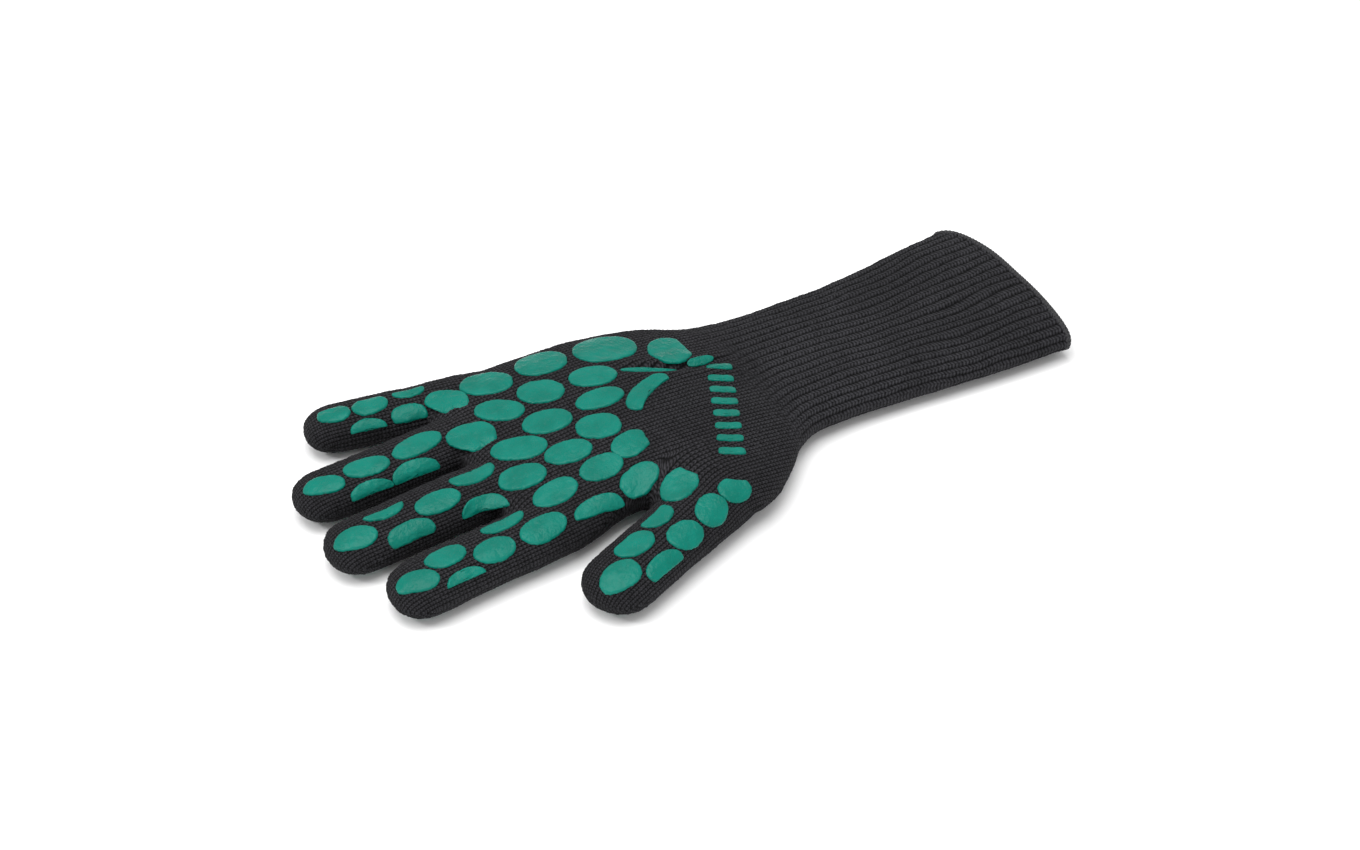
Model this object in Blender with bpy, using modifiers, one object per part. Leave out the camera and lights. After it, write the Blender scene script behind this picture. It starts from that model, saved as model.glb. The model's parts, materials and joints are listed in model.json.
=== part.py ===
"""Heat resistant knitted glove with a long ribbed cuff, silicone grip dots on both faces and a cotton lining.

The glove lies flat, palm up: X runs along it (fingers towards -X, cuff towards +X), Y runs across it
(thumb at -Y, little finger at +Y) and +Z is up. The origin is on the ground plane, at the middle of the
glove's footprint. Every finger has two joints and the wrist has one.
"""
import math

import bmesh
import bpy
from mathutils import Matrix, Vector

MM = 0.001
NAME = "heat_resistant_glove"

# ------------------------------------------------------------------ driving dimensions, in millimetres
SHIFT_X, SHIFT_Y = -5.0, 3.07     # puts the origin at the middle of the footprint
FLOOR = 1.0                       # lowest point of the knitted shell above the ground

SHELL_WALL = 2.0                  # knitted aramid shell
LINER_GAP = 0.45                  # clearance between shell and lining
CUFF_LINER_GAP = 0.8              # the same inside the cuff, where the lining hangs looser
LINER_WALL = 1.3                  # cotton lining
PAD_GAP = 0.3                     # clearance under the silicone print
PAD_TOP = 1.2                     # height of the print above the shell
JOINT_GAP = 0.2                   # each piece stops this far from a joint plane
AXIS_CLEAR = 0.15                 # joint axes lie this far above the print

FINGER_EXP = 2.5                  # roundness of a finger's section (2 is an ellipse)
HAND_EXP = 2.8                    # roundness of the hand's and cuff's section
FINGER_SIDES = 12
HAND_SIDES = 16
FLAT_WITHIN = 0.7                 # faces that meet within this many degrees are made one

# A finger is a tube on a straight centre line, from a point in the palm to its extreme end.
# knuckle and middle are distances along the centre line: its first joint and its second.
FINGERS = {
    "index": dict(root=(-84.0, -33.3), tip=(-156.5, -38.8), half_width=14.2, half_height=8.4, knuckle=19.0, middle=45.0),
    "middle": dict(root=(-84.0, 1.8), tip=(-168.0, -3.6), half_width=14.4, half_height=8.4, knuckle=19.0, middle=48.0),
    "ring": dict(root=(-84.0, 34.6), tip=(-166.0, 32.0), half_width=13.5, half_height=8.4, knuckle=19.0, middle=47.0),
    "little": dict(root=(-77.0, 60.5), tip=(-143.5, 73.3), half_width=12.9, half_height=8.0, knuckle=21.0, middle=43.5),
    "thumb": dict(root=(-11.8, -50.5), tip=(-86.0, -80.5), half_width=14.9, half_height=8.9, knuckle=23.5, middle=50.0),
}
BURIED = 20.0                     # a finger's tube starts this far inside the hand, where it is slimmer
BURIED_WIDTH, BURIED_HEIGHT = 0.72, 0.86

# The hand's body: x, lower and upper edge in y, half height.
HAND_STATIONS = [
    (-93.5, -43.0, 71.0, 6.0), (-86.0, -45.6, 72.6, 8.9), (-62.0, -44.4, 67.4, 10.8), (-40.0, -43.0, 66.0, 11.5),
    (-20.0, -58.0, 65.1, 11.9), (0.0, -65.5, 61.6, 11.4), (14.0, -60.0, 57.6, 10.9), (27.0, -48.5, 50.6, 10.1),
    (37.0, -37.6, 48.6, 9.2), (48.0, -33.0, 48.2, 8.7),
]
# The cuff: the same, from the wrist to the mouth, whose rim bows outwards by MOUTH_BOW in the middle and by
# MOUTH_SKEW at the corner on the thumb's side.
CUFF_STATIONS = [
    (48.0, -33.0, 48.2, 8.7), (70.0, -31.6, 47.8, 8.2), (100.0, -33.4, 48.4, 7.9), (135.0, -36.8, 52.8, 7.9),
    (170.0, -39.0, 57.2, 8.6),
]
MOUTH_BOW = 8.0
MOUTH_SKEW = 6.5
HEM_LENGTH = 3.0
HEM_WALL = 3.4
WRIST_X = 48.0

# Silicone dots on the palm: x, y, half length, half width, turn in degrees.
PALM_DOTS = [
    (-84.5, 54.5, 9.0, 7.4, 0), (-64.5, 53.5, 10.8, 7.4, -14), (-39.5, 52.0, 11.8, 7.4, -6), (-11.5, 47.0, 14.0, 9.6, -14),
    (-87.0, 27.5, 10.6, 8.2, 0), (-69.5, 33.5, 10.0, 7.4, -20), (-49.0, 34.0, 10.8, 7.4, -8), (-26.0, 31.0, 11.0, 6.4, -6),
    (12.5, 30.0, 8.6, 9.6, 0), (-75.0, 8.5, 11.0, 7.4, 0), (-55.5, 15.5, 11.2, 6.8, 4), (-30.5, 16.5, 11.2, 5.6, 2),
    (-38.5, 0.5, 10.4, 7.6, 8), (-10.0, 10.0, 13.0, 7.6, 24), (-81.0, -8.0, 10.5, 7.0, 0), (-57.5, -6.5, 10.5, 6.8, 6),
    (-33.5, -16.5, 9.4, 7.4, 14), (-73.5, -24.0, 11.0, 7.0, 10), (-51.5, -21.0, 10.2, 7.4, 14), (-39.0, -34.0, 10.6, 7.4, 26),
    (-61.5, -39.0, 11.0, 6.2, 6), (-27.5, -47.0, 9.6, 7.4, 30),
]
# The print stops around a round clear zone that holds the grip bars.
CLEAR_CENTRE = (9.5, -23.0)
CLEAR_RADIUS = 36.0
PRINT_END_X = 20.0

# Silicone dots on a finger: distance along it, offset across it (towards the thumb side), half length, half width.
FINGER_DOTS = {
    "index": [(3.0, 5.0, 10.4, 7.2), (15.0, -7.5, 9.8, 5.6), (27.0, 4.5, 9.2, 6.8), (44.6, -4.6, 9.0, 5.4),
              (43.6, 11.0, 9.0, 5.6), (61.4, 2.5, 9.2, 6.4)],
    "middle": [(13.0, -5.6, 10.4, 6.4), (17.8, 11.6, 9.6, 6.2), (33.2, 1.8, 10.0, 6.4), (50.4, 9.8, 10.0, 6.6),
               (54.4, -6.6, 9.4, 5.2), (71.2, 2.6, 10.0, 6.4)],
    "ring": [(24.8, -2.4, 11.4, 7.0), (31.2, 11.6, 10.0, 6.6), (49.0, -1.4, 10.0, 6.0), (51.8, 12.2, 9.6, 5.8), (68.6, 1.2, 9.0, 5.8)],
    "little": [(20.0, -7.2, 8.6, 5.4), (23.4, 8.0, 7.6, 6.8), (39.0, -2.6, 7.6, 6.0), (41.2, 9.4, 7.6, 5.2), (54.6, -1.6, 7.4, 5.6)],
    "thumb": [(-0.6, 10.0, 7.0, 6.4), (14.6, 9.0, 7.0, 9.0), (32.4, -6.0, 7.8, 5.4), (33.2, 8.6, 7.8, 8.4), (50.4, -3.4, 9.4, 6.0),
              (50.2, 11.0, 9.2, 5.8), (67.4, 3.0, 9.6, 8.0)],
}
ZONE_THUMB_SIDE = 12.6            # the print on a finger stops this far across, on the thumb side
ZONE_OTHER_SIDE = -9.4            # and this far on the other side
DOT_SIDES = 8
WEB_WIDTH = 1.4                   # the thin webs that join the dots of one print
SHORTEST_DOT = 3.0                # a dot that a joint leaves shorter than this is left out on that side

# Grip bars across the heel of the hand, along one line.
BARS_FROM, BARS_TO = (1.5, -41.0), (27.5, 14.0)
BAR_COUNT = 8
BAR_LENGTH, BAR_WIDTH = 10.0, 3.6

COLOURS = {
    "shell": ((0.022, 0.022, 0.024), 0.92),
    "liner": ((0.075, 0.073, 0.070), 0.95),
    "hem": ((0.018, 0.018, 0.020), 0.85),
    "grip": ((0.004, 0.235, 0.178), 0.32),
}

# ------------------------------------------------------------------ scene
for old in list(bpy.data.objects):
    bpy.data.objects.remove(old, do_unlink=True)
collection = bpy.data.collections.new(NAME)
bpy.context.scene.collection.children.link(collection)
cutters = bpy.data.collections.new("cutters")
bpy.context.scene.collection.children.link(cutters)


def material(name, colour, roughness):
    m = bpy.data.materials.new(name)
    m.use_nodes = True
    shader = m.node_tree.nodes["Principled BSDF"]
    shader.inputs["Base Color"].default_value = (*colour, 1.0)
    shader.inputs["Roughness"].default_value = roughness
    shader.inputs["Metallic"].default_value = 0.0
    m.diffuse_color = (*colour, 1.0)
    return m


def power(value, exponent):
    return math.copysign(abs(value) ** (2.0 / exponent), value)


def between(stations, x):
    """The stations' values at x, on straight lines between them."""
    if x <= stations[0][0]:
        return stations[0][1:]
    for a, b in zip(stations[:-1], stations[1:]):
        if x <= b[0]:
            k = (x - a[0]) / (b[0] - a[0])
            return tuple(p + (q - p) * k for p, q in zip(a[1:], b[1:]))
    return stations[-1][1:]


# ------------------------------------------------------------------ forms
def tube_rings(sides, count, round_end, closed_start):
    """A unit tube along +X with its rings at x = 0, -1, -2 ... and, if asked, a hemisphere beyond x = 0."""
    bm = bmesh.new()
    if round_end:
        bmesh.ops.create_uvsphere(bm, u_segments=sides, v_segments=6, radius=1.0)
        bmesh.ops.rotate(bm, verts=bm.verts, cent=(0, 0, 0), matrix=Matrix.Rotation(math.pi / 2, 3, "Y"))
        bmesh.ops.delete(bm, geom=[v for v in bm.verts if v.co.x < -1e-4], context="VERTS")
    else:
        bmesh.ops.create_circle(bm, cap_ends=closed_start, segments=sides, radius=1.0)
        bmesh.ops.rotate(bm, verts=bm.verts, cent=(0, 0, 0), matrix=Matrix.Rotation(math.pi / 2, 3, "Y"))
    for v in bm.verts:
        if abs(v.co.x) < 1e-4:
            v.co.x = 0.0
    edge_loop = [e for e in bm.edges if all(abs(v.co.x) < 1e-5 for v in e.verts)]
    for _ in range(count - 1):
        grown = bmesh.ops.extrude_edge_only(bm, edges=edge_loop)["geom"]
        bmesh.ops.translate(bm, verts=[g for g in grown if isinstance(g, bmesh.types.BMVert)], vec=(-1, 0, 0))
        edge_loop = [g for g in grown if isinstance(g, bmesh.types.BMEdge)
                     and abs(g.verts[0].co.x - g.verts[1].co.x) < 1e-5]
    return bm, edge_loop


def close_end(bm, edge_loop):
    bmesh.ops.contextual_create(bm, geom=edge_loop)


def to_object(bm, name, outward=True, triangulate=False):
    """Makes the mesh an object of the cutters' collection, with its faces pointing out."""
    bmesh.ops.remove_doubles(bm, verts=bm.verts, dist=1e-6)
    bmesh.ops.recalc_face_normals(bm, faces=bm.faces)
    if outward:
        centre = sum((v.co for v in bm.verts), Vector()) / len(bm.verts)
        if sum((f.calc_center_median() - centre).dot(f.normal) * f.calc_area() for f in bm.faces) < 0:
            bmesh.ops.reverse_faces(bm, faces=bm.faces)
    if triangulate:
        bmesh.ops.triangulate(bm, faces=bm.faces)
    mesh = bpy.data.meshes.new(name)
    bm.to_mesh(mesh)
    bm.free()
    obj = bpy.data.objects.new(name, mesh)
    cutters.objects.link(obj)
    obj.hide_render = True
    obj.display_type = "WIRE"
    return obj


class Finger:
    def __init__(self, name):
        spec = FINGERS[name]
        self.name = name
        self.root = Vector((spec["root"][0] + SHIFT_X, spec["root"][1] + SHIFT_Y, 0))
        tip = Vector((spec["tip"][0] + SHIFT_X, spec["tip"][1] + SHIFT_Y, 0))
        self.length = (tip - self.root).length
        self.along = (tip - self.root).normalized()
        self.across = Vector((-self.along.y, self.along.x, 0))
        self.width, self.height = spec["half_width"], spec["half_height"]
        self.knuckle, self.middle = spec["knuckle"], spec["middle"]

    def half(self, s):
        """Half width, half height and centre height of the tube at s."""
        k = min(max(-s / BURIED, 0.0), 1.0)
        h = self.height * (1.0 + (BURIED_HEIGHT - 1.0) * k)
        return self.width * (1.0 + (BURIED_WIDTH - 1.0) * k), h, FLOOR + self.height

    def point(self, s, t, z):
        return (self.root + self.along * s + self.across * t + Vector((0, 0, z))) * MM

    def form(self, start, end, inset, name, closed=True):
        """The tube between two distances along it, its wall moved inwards by inset. An end of None is the tip."""
        cap = self.width
        last = self.length - cap if end is None else end
        stations = [last, start] if start >= 0 else [last, 0.0, start]
        count = len(stations)
        bm, loop = tube_rings(FINGER_SIDES, count, end is None, closed)
        if closed:
            close_end(bm, loop)
        for v in bm.verts:
            x, y, z = v.co
            angle = math.atan2(z, y)
            if x > 1e-5:
                s, size = last + (cap - inset) * x, math.sqrt(max(0.0, 1.0 - x * x))
            else:
                s, size = stations[int(round(-x))], 1.0
            w, h, middle = self.half(s)
            v.co = self.point(s, (w - inset) * size * power(math.cos(angle), FINGER_EXP),
                              middle + (h - inset) * size * power(math.sin(angle), FINGER_EXP))
        return to_object(bm, name, triangulate=closed and start < 0)

    def pivot(self, s):
        w, h, middle = self.half(s)
        return self.point(s, 0, middle + h + PAD_TOP + AXIS_CLEAR)


def section(stations, x, angle, inset):
    low, high, h = between(stations, x)
    w = (high - low) / 2
    y = (low + high) / 2 + (w - inset) * power(math.cos(angle), HAND_EXP)
    z = FLOOR + h + (h - inset) * power(math.sin(angle), HAND_EXP)
    return y + SHIFT_Y, z


def hand_body(inset, end, name):
    """The hand without its fingers, closed at the wrist."""
    xs = [s[0] for s in HAND_STATIONS[:-1]] + [end]
    bm, loop = tube_rings(HAND_SIDES, len(xs), False, True)
    close_end(bm, loop)
    for v in bm.verts:
        i = int(round(-v.co.x))
        x = xs[i] + (inset if i == 0 else 0.0)
        y, z = section(HAND_STATIONS, xs[i], math.atan2(v.co.z, v.co.y), inset)
        v.co = Vector((x + SHIFT_X, y, z)) * MM
    return to_object(bm, name, triangulate=True)


def mouth_bow(angle):
    across = power(math.cos(angle), HAND_EXP)
    return MOUTH_BOW * (1.0 - abs(across) ** 2.4) + MOUTH_SKEW * max(0.0, -across) ** 2.4


def cuff_form(inset, start, end_inset, name, closed):
    """The cuff from start to end_inset short of the mouth."""
    xs = [start] + [s[0] for s in CUFF_STATIONS[1:]]
    xs[-1] -= end_inset
    bm, loop = tube_rings(HAND_SIDES, len(xs), False, closed)
    if closed:
        close_end(bm, loop)
    for v in bm.verts:
        i = int(round(-v.co.x))
        angle = math.atan2(v.co.z, v.co.y)
        y, z = section(CUFF_STATIONS, xs[i], angle, inset)
        reach = max(0.0, (xs[i] - 100.0) / (xs[-1] - 100.0))
        bow = mouth_bow(angle) * reach ** 2
        v.co = Vector((xs[i] + bow + SHIFT_X, y, z)) * MM
    return to_object(bm, name, triangulate=closed)


# ------------------------------------------------------------------ tools
def combine(target, others, operation, self_union=False):
    """Applies exact booleans to the target with each of the others, which are used up."""
    for other in others:
        modifier = target.modifiers.new("cut", "BOOLEAN")
        modifier.solver = "EXACT"
        modifier.operation = operation
        modifier.use_self = self_union
        modifier.object = other
    bpy.context.view_layer.update()
    graph = bpy.context.evaluated_depsgraph_get()
    mesh = bpy.data.meshes.new_from_object(target.evaluated_get(graph))
    target.modifiers.clear()
    target.data = mesh
    for other in others:
        bpy.data.objects.remove(other, do_unlink=True)
    bm = bmesh.new()
    bm.from_mesh(mesh)
    bmesh.ops.remove_doubles(bm, verts=bm.verts, dist=2e-6)
    bmesh.ops.dissolve_degenerate(bm, dist=1e-6, edges=bm.edges)
    bmesh.ops.dissolve_limit(bm, angle_limit=math.radians(FLAT_WITHIN), use_dissolve_boundaries=False,
                             verts=bm.verts, edges=bm.edges, delimit=set())
    bmesh.ops.triangulate(bm, faces=bm.faces)
    bm.to_mesh(mesh)
    bm.free()
    return target


frames = {}


def joint_frame(body, at, parent=None):
    """An empty on the joint's axis, which carries the body's pieces."""
    empty = bpy.data.objects.new(body + "_frame", None)
    collection.objects.link(empty)
    empty.empty_display_size = 0.02
    origin = Vector(at)
    if parent:
        empty.parent = frames[parent][0]
        empty.location = origin - frames[parent][1]
    else:
        empty.location = origin
    frames[body] = (empty, origin)


def place(obj, name, kind, body, wall=None, smooth=35.0):
    """Names the piece, gives it its material and hangs it on its body's frame."""
    empty, origin = frames[body]
    obj.name = name
    obj.data.name = name
    obj.data.transform(Matrix.Translation(-origin))
    obj.parent = empty
    colour, roughness = COLOURS[kind]
    obj.data.materials.clear()
    obj.data.materials.append(material(name, colour, roughness))
    cutters.objects.unlink(obj)
    collection.objects.link(obj)
    obj.hide_render = False
    obj.display_type = "TEXTURED"
    if wall:
        solid = obj.modifiers.new("wall", "SOLIDIFY")
        solid.thickness = wall * MM
        solid.offset = -1.0
        solid.use_even_offset = True
    for polygon in obj.data.polygons:
        polygon.use_smooth = True
    obj.data.set_sharp_from_angle(angle=math.radians(smooth))
    return obj


# ------------------------------------------------------------------ bodies and their joint axes
fingers = {name: Finger(name) for name in FINGERS}
joint_frame("hand", (0, 0, 0))
wrist_height = FLOOR + 2 * between(CUFF_STATIONS, WRIST_X)[2] + PAD_TOP + AXIS_CLEAR
joint_frame("cuff", Vector((WRIST_X + SHIFT_X, 7.6 + SHIFT_Y, wrist_height)) * MM, "hand")
for name, finger in fingers.items():
    joint_frame(name + "_base", finger.pivot(finger.knuckle), "hand")
    joint_frame(name + "_tip", finger.pivot(finger.middle), name + "_base")


# ------------------------------------------------------------------ shell and lining of the hand
def hand_volume(inset, beyond, name):
    """The hand's body joined to the stub of each finger up to its knuckle, plus beyond."""
    body = hand_body(inset, WRIST_X + beyond, name)
    stubs = [finger.form(inset - BURIED, finger.knuckle + beyond, inset, name + "_" + key)
             for key, finger in fingers.items()]
    return combine(body, stubs, "UNION")


def hand_layer(outer, wall, name, kind):
    layer = hand_volume(outer, -JOINT_GAP, name)
    combine(layer, [hand_volume(outer + wall, 1.0, name + "_inside")], "DIFFERENCE")
    return place(layer, name, kind, "hand")


hand_layer(0.0, SHELL_WALL, "shell_hand", "shell")
hand_layer(SHELL_WALL + LINER_GAP, LINER_WALL, "liner_hand", "liner")

# ------------------------------------------------------------------ shell and lining of the fingers
for name, finger in fingers.items():
    for layer, inset, wall in (("shell", 0.0, SHELL_WALL), ("liner", SHELL_WALL + LINER_GAP, LINER_WALL)):
        base = finger.form(finger.knuckle + JOINT_GAP, finger.middle - JOINT_GAP, inset, layer + name, closed=False)
        place(base, "%s_%s_base" % (layer, name), layer, name + "_base", wall)
        tip = finger.form(finger.middle + JOINT_GAP, None, inset, layer + name, closed=False)
        place(tip, "%s_%s_tip" % (layer, name), layer, name + "_tip", wall)

# ------------------------------------------------------------------ cuff, its lining and the hem round its mouth
cuff = cuff_form(0.0, WRIST_X + JOINT_GAP, HEM_LENGTH + 0.7, "shell_cuff", False)
place(cuff, "shell_cuff", "shell", "cuff", SHELL_WALL)
cuff_liner = cuff_form(SHELL_WALL + CUFF_LINER_GAP, WRIST_X + JOINT_GAP, HEM_LENGTH + 0.7, "liner_cuff", False)
place(cuff_liner, "liner_cuff", "liner", "cuff", LINER_WALL)


def hem_ring():
    """A band bound over the rim, from the ends of the cuff and its lining to the mouth."""
    bm, loop = tube_rings(HAND_SIDES, 2, False, False)
    end = CUFF_STATIONS[-1][0]
    for v in bm.verts:
        angle = math.atan2(v.co.z, v.co.y)
        x = end - HEM_LENGTH if v.co.x > -0.5 else end
        y, z = section(CUFF_STATIONS, end, angle, 0.0)
        bow = mouth_bow(angle)
        v.co = Vector((x + bow + SHIFT_X, y, z)) * MM
    return to_object(bm, "cuff_hem")


place(hem_ring(), "cuff_hem", "hem", "cuff", HEM_WALL)


# ------------------------------------------------------------------ silicone print
def dot_prism(outline, low, high):
    """A closed prism on a flat outline that is already in place."""
    bm = bmesh.new()
    bmesh.ops.create_circle(bm, cap_ends=True, segments=len(outline), radius=1.0)
    for v, (x, y) in zip(sorted(bm.verts, key=lambda v: math.atan2(v.co.y, v.co.x)), outline):
        v.co = (x, y, low)
    bmesh.ops.remove_doubles(bm, verts=bm.verts, dist=2e-4)
    raised = bmesh.ops.extrude_face_region(bm, geom=list(bm.faces))["geom"]
    bmesh.ops.translate(bm, verts=[g for g in raised if isinstance(g, bmesh.types.BMVert)], vec=(0, 0, high - low))
    return bm


def middle_of(outline):
    return Vector((sum(p[0] for p in outline) / len(outline), sum(p[1] for p in outline) / len(outline)))


def web_prism(a, b, width, low, high):
    """A straight thin web between two dots."""
    bm = bmesh.new()
    run = b - a
    size = Matrix.Diagonal((run.length, width, high - low, 1.0))
    turn = Matrix.Rotation(math.atan2(run.y, run.x), 4, "Z")
    bmesh.ops.create_cube(bm, size=1.0, matrix=Matrix.Translation(((a.x + b.x) / 2, (a.y + b.y) / 2, (low + high) / 2)) @ turn @ size)
    return bm


def shortest_tree(points, owners):
    """Pairs of points that join them all with the least total length, never straight from finger to finger."""
    def cost(i, j):
        apart = owners[i] != owners[j] and owners[i] and owners[j]
        return (points[i] - points[j]).length + (1.0 if apart else 0.0), i, j
    joined, pairs = {0}, []
    while len(joined) < len(points):
        a, b = min(((i, j) for i in joined for j in range(len(points)) if j not in joined), key=lambda ij: cost(*ij))
        joined.add(b)
        pairs.append((a, b))
    return pairs


def above_ground():
    bm = bmesh.new()
    bmesh.ops.create_cube(bm, size=0.6, matrix=Matrix.Translation((0, 0, 0.3)))
    return to_object(bm, "above_ground")


def print_layer(outlines, low, high, over, under, name, body, pairs):
    """Cuts the dots and their webs out of the thin layer between the two volumes."""
    whole = bmesh.new()
    centres = [middle_of(o) for o in outlines]
    shapes = [dot_prism(o, low, high) for o in outlines]
    shapes += [web_prism(centres[a], centres[b], WEB_WIDTH * MM, low, high)
               for a, b in pairs]
    for shape in shapes:
        bmesh.ops.recalc_face_normals(shape, faces=shape.faces)
        mesh = bpy.data.meshes.new("shape")
        shape.to_mesh(mesh)
        shape.free()
        whole.from_mesh(mesh)
        bpy.data.meshes.remove(mesh)
    mesh = bpy.data.meshes.new(name)
    whole.to_mesh(mesh)
    whole.free()
    obj = bpy.data.objects.new(name, mesh)
    cutters.objects.link(obj)
    combine(obj, [over], "INTERSECT", self_union=True)
    combine(obj, [under], "DIFFERENCE")
    if low < 0:
        combine(obj, [above_ground()], "INTERSECT")
    return place(obj, name, "grip", body, smooth=30.0)


def oval(sides=DOT_SIDES):
    """Points of a unit oval, anticlockwise from -180 degrees."""
    return [(math.cos(a), math.sin(a)) for a in (-math.pi + 2 * math.pi * (i + 0.5) / sides for i in range(sides))]


def palm_outline(x, y, half_length, half_width, turn):
    c, s = math.cos(math.radians(turn)), math.sin(math.radians(turn))
    outline = []
    for u, v in oval():
        px, py = x + u * half_length * c - v * half_width * s, y + u * half_length * s + v * half_width * c
        dx, dy = px - CLEAR_CENTRE[0], py - CLEAR_CENTRE[1]
        r = math.hypot(dx, dy)
        if r < CLEAR_RADIUS:
            px, py = CLEAR_CENTRE[0] + dx * CLEAR_RADIUS / r, CLEAR_CENTRE[1] + dy * CLEAR_RADIUS / r
        outline.append(((min(px, PRINT_END_X) + SHIFT_X) * MM, (py + SHIFT_Y) * MM))
    return outline


def finger_outline(finger, s, t, half_length, half_width, first, last):
    """A dot on a finger, cut straight at the print's edges and at the joints. None if too little is left."""
    if min(s + half_length, last) - max(s - half_length, first) < SHORTEST_DOT:
        return None
    outline = []
    for u, v in oval():
        ps = min(max(s + u * half_length, first), last)
        pt = min(max(t + v * half_width, ZONE_OTHER_SIDE), ZONE_THUMB_SIDE)
        p = finger.point(ps, pt, 0)
        outline.append((p.x, p.y))
    return outline


def finger_outlines(finger, first, last):
    found = (finger_outline(finger, *dot, first, last) for dot in FINGER_DOTS[finger.name])
    return [o for o in found if o]


def both_faces(outlines, middle, make_volume, name, body, pairs):
    """Prints the same dots on the palm side, above middle, and on the back, below it and down to the ground."""
    for face, low, high in (("palm", middle, 60.0), ("back", -5.0, middle)):
        print_layer(outlines, low * MM, high * MM, make_volume(-PAD_TOP, "over"), make_volume(-PAD_GAP, "under"),
                    name % face, body, pairs)


def tree(outlines, owners=None):
    return shortest_tree([middle_of(o) for o in outlines], owners or [None] * len(outlines))


for name, finger in fingers.items():
    for part, first, last in (("base", finger.knuckle + JOINT_GAP, finger.middle - JOINT_GAP),
                              ("tip", finger.middle + JOINT_GAP, finger.length)):
        end = None if part == "tip" else last + 2.0
        dots = finger_outlines(finger, first, last)
        both_faces(dots, FLOOR + finger.height, lambda inset, label: finger.form(first - 2.0, end, inset, label),
                   "grip_%s_" + name + "_" + part, name + "_" + part, tree(dots))

hand_dots = [palm_outline(*dot) for dot in PALM_DOTS]
owners = [None] * len(hand_dots)
for name, finger in fingers.items():
    dots = finger_outlines(finger, -30.0, finger.knuckle - JOINT_GAP)
    hand_dots += dots
    owners += [name] * len(dots)
both_faces(hand_dots, FLOOR + 9.4, lambda inset, label: hand_volume(inset, 1.0, label), "grip_%s_hand", "hand",
           tree(hand_dots, owners))


# ------------------------------------------------------------------ grip bars
def bar_outlines():
    a, b = Vector(BARS_FROM), Vector(BARS_TO)
    along = (b - a).normalized()
    across = Vector((along.y, -along.x))
    outlines = []
    for i in range(BAR_COUNT):
        centre = a + (b - a) * i / (BAR_COUNT - 1)
        outline = []
        for u, v in oval():
            straight = math.copysign(BAR_LENGTH / 2 - BAR_WIDTH / 2, u)
            p = centre + across * (straight + u * BAR_WIDTH / 2) + along * (v * BAR_WIDTH / 2)
            outline.append(((p.x + SHIFT_X) * MM, (p.y + SHIFT_Y) * MM))
        outlines.append(outline)
    return outlines


both_faces(bar_outlines(), FLOOR + 9.4, lambda inset, label: hand_volume(inset, 1.0, label), "grip_bars_%s", "hand",
           [(i, i + 1) for i in range(BAR_COUNT - 1)])

bpy.context.view_layer.update()
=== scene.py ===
import json
import math

import bmesh
import bpy
import numpy as np
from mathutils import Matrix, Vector
from mathutils.bvhtree import BVHTree


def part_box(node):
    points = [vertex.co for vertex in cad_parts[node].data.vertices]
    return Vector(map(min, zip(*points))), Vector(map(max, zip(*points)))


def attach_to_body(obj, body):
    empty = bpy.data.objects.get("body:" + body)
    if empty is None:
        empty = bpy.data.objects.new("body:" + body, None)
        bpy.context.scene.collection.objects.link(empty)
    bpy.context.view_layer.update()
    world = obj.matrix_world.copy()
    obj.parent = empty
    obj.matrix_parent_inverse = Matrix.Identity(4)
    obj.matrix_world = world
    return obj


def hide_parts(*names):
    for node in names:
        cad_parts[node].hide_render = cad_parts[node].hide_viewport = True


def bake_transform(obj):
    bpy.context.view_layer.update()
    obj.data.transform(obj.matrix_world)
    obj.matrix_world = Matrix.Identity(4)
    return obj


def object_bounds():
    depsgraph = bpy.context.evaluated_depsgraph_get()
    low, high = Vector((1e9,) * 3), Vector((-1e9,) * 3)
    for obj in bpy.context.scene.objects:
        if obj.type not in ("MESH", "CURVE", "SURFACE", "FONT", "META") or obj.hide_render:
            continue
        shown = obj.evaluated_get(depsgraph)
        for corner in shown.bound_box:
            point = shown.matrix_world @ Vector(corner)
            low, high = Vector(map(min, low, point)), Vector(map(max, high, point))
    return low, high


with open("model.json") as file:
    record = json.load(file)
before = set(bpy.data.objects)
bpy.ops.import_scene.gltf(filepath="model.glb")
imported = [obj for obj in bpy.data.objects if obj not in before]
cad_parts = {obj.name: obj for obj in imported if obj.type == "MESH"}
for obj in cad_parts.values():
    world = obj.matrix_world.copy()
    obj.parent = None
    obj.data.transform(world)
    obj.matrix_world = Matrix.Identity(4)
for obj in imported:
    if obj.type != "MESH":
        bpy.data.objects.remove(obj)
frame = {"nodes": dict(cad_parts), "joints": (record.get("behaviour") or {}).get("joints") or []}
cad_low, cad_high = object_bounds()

# Lengths in this file are millimetres in the row frame until a mesh is made. Z is up, the palm faces up,
# the fingers point to -X and the cuff to +X.
MM = 0.001
VOXEL = 0.55
JOINTS = {j["name"]: j for j in frame["joints"]}


def low_high(node):
    low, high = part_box(node)
    return np.array(low) / MM, np.array(high) / MM


# ------------------------------------------------------------------ the frame's measures
HAND_LOW, HAND_HIGH = low_high("shell_hand")
MOUTH_X = cad_high.x / MM
FLOOR = HAND_LOW[2]
BOW = 8.0
SKEW = 5.2
HEM_OVERHANG = 2.9  # how far the visible rim lies past the rim of the CAD cuff, which is short by this much
FINGER_EXPONENT = 2.2

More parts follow.
